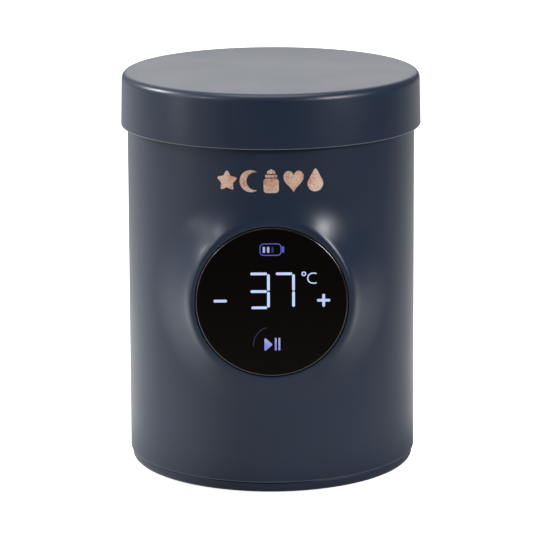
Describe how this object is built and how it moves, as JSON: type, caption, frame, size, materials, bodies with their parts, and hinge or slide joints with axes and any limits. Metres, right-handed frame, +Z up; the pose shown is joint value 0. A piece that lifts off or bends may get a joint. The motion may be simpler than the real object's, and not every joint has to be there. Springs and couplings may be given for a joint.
{
  "type": "bottle warmer",
  "caption": "Cordless baby-bottle warmer: a round battery-heated cup with a push-on lid and a touch display on a boss that fairs into its front.",
  "frame": {"origin": "centre of the foot ring's underside, on the surface that the warmer stands on", "axes": "+Z up along the cup's axis; the display faces -Y; +X to the right of someone facing the display"},
  "size_m": [0.0974, 0.0974, 0.1294],
  "materials": {
    "navy_plastic": "satin navy moulded plastic with a very fine texture",
    "black_lens": "polished black display window",
    "dark_plastic": "dark grey moulded inner plastic",
    "steel_cup": "brushed stainless steel",
    "silicone": "matt dark silicone",
    "screw_steel": "zinc-plated steel",
    "port_steel": "bright drawn steel shell",
    "circuit_board": "green solder mask",
    "chip_black": "black moulded resin",
    "white_plastic": "natural white nylon",
    "capacitor_can": "bare aluminium can",
    "heater_film": "amber polyimide film over foil tracks",
    "insulation_foam": "pale fibre insulation felt",
    "cell_wrap": "blue shrink sleeve round a steel cell",
    "nickel": "spot-welded nickel strip",
    "heater_aluminium": "milled aluminium plate",
    "lead_red": "red silicone insulation",
    "lead_black": "black silicone insulation",
    "foil_rose_gold": "rose-gold hot-stamped foil",
    "display_glow": "bluish-white lit symbols behind the window"
  },
  "bodies": {
    "body": {"foot_ring": "silicone", "base_cover": "navy_plastic", "outer_shell": "navy_plastic", "battery_tray": "dark_plastic", "nickel_strip_left": "nickel", "nickel_strip_right": "nickel", "main_board": "circuit_board", "control_chip": "chip_black", "power_inductor": "chip_black", "filter_capacitor": "capacitor_can", "buzzer": "chip_black", "battery_connector": "white_plastic", "heater_connector": "white_plastic", "display_connector": "white_plastic", "usb_port": "port_steel", "inner_chassis": "dark_plastic", "insulation_disc": "insulation_foam", "heater_plate": "heater_aluminium", "thermal_sensor": "chip_black", "thermal_fuse": "white_plastic", "cup_liner": "steel_cup", "heater_film": "heater_film", "insulation_sleeve": "insulation_foam", "cup_gasket": "silicone", "rim_collar": "dark_plastic", "display_lens": "black_lens", "display_mask": "dark_plastic", "display_board": "circuit_board", "display_driver_chip": "chip_black", "touch_pad_minus": "chip_black", "touch_pad_plus": "chip_black", "touch_pad_play": "chip_black", "display_ribbon": "white_plastic", "battery_lead_red": "lead_red", "battery_lead_black": "lead_black", "heater_lead_1": "lead_red", "heater_lead_2": "lead_red", "port_flap_anchor": "silicone", "base_screw_1": "screw_steel", "board_screw_1": "screw_steel", "base_screw_2": "screw_steel", "board_screw_2": "screw_steel", "base_screw_3": "screw_steel", "board_screw_3": "screw_steel", "base_screw_4": "screw_steel", "board_screw_4": "screw_steel", "battery_cell_1": "cell_wrap", "battery_cell_2": "cell_wrap", "battery_cell_3": "cell_wrap"},
    "lid": {"lid_shell": "navy_plastic", "lid_liner": "dark_plastic", "lid_insulation": "insulation_foam", "lid_seal": "silicone"},
    "port_flap": {"port_flap": "silicone"}
  },
  "joints": [
    {"name": "lid_lift", "type": "slide", "parent": "body", "child": "lid", "axis": [0, 0, 1], "range_m": [0, 0.06]},
    {"name": "port_flap_hinge", "type": "hinge", "parent": "body", "child": "port_flap", "pos_m": [0, 0.0469, 0.024], "axis": [-1, 0, 0], "range_deg": [0, 110]}
  ]
}
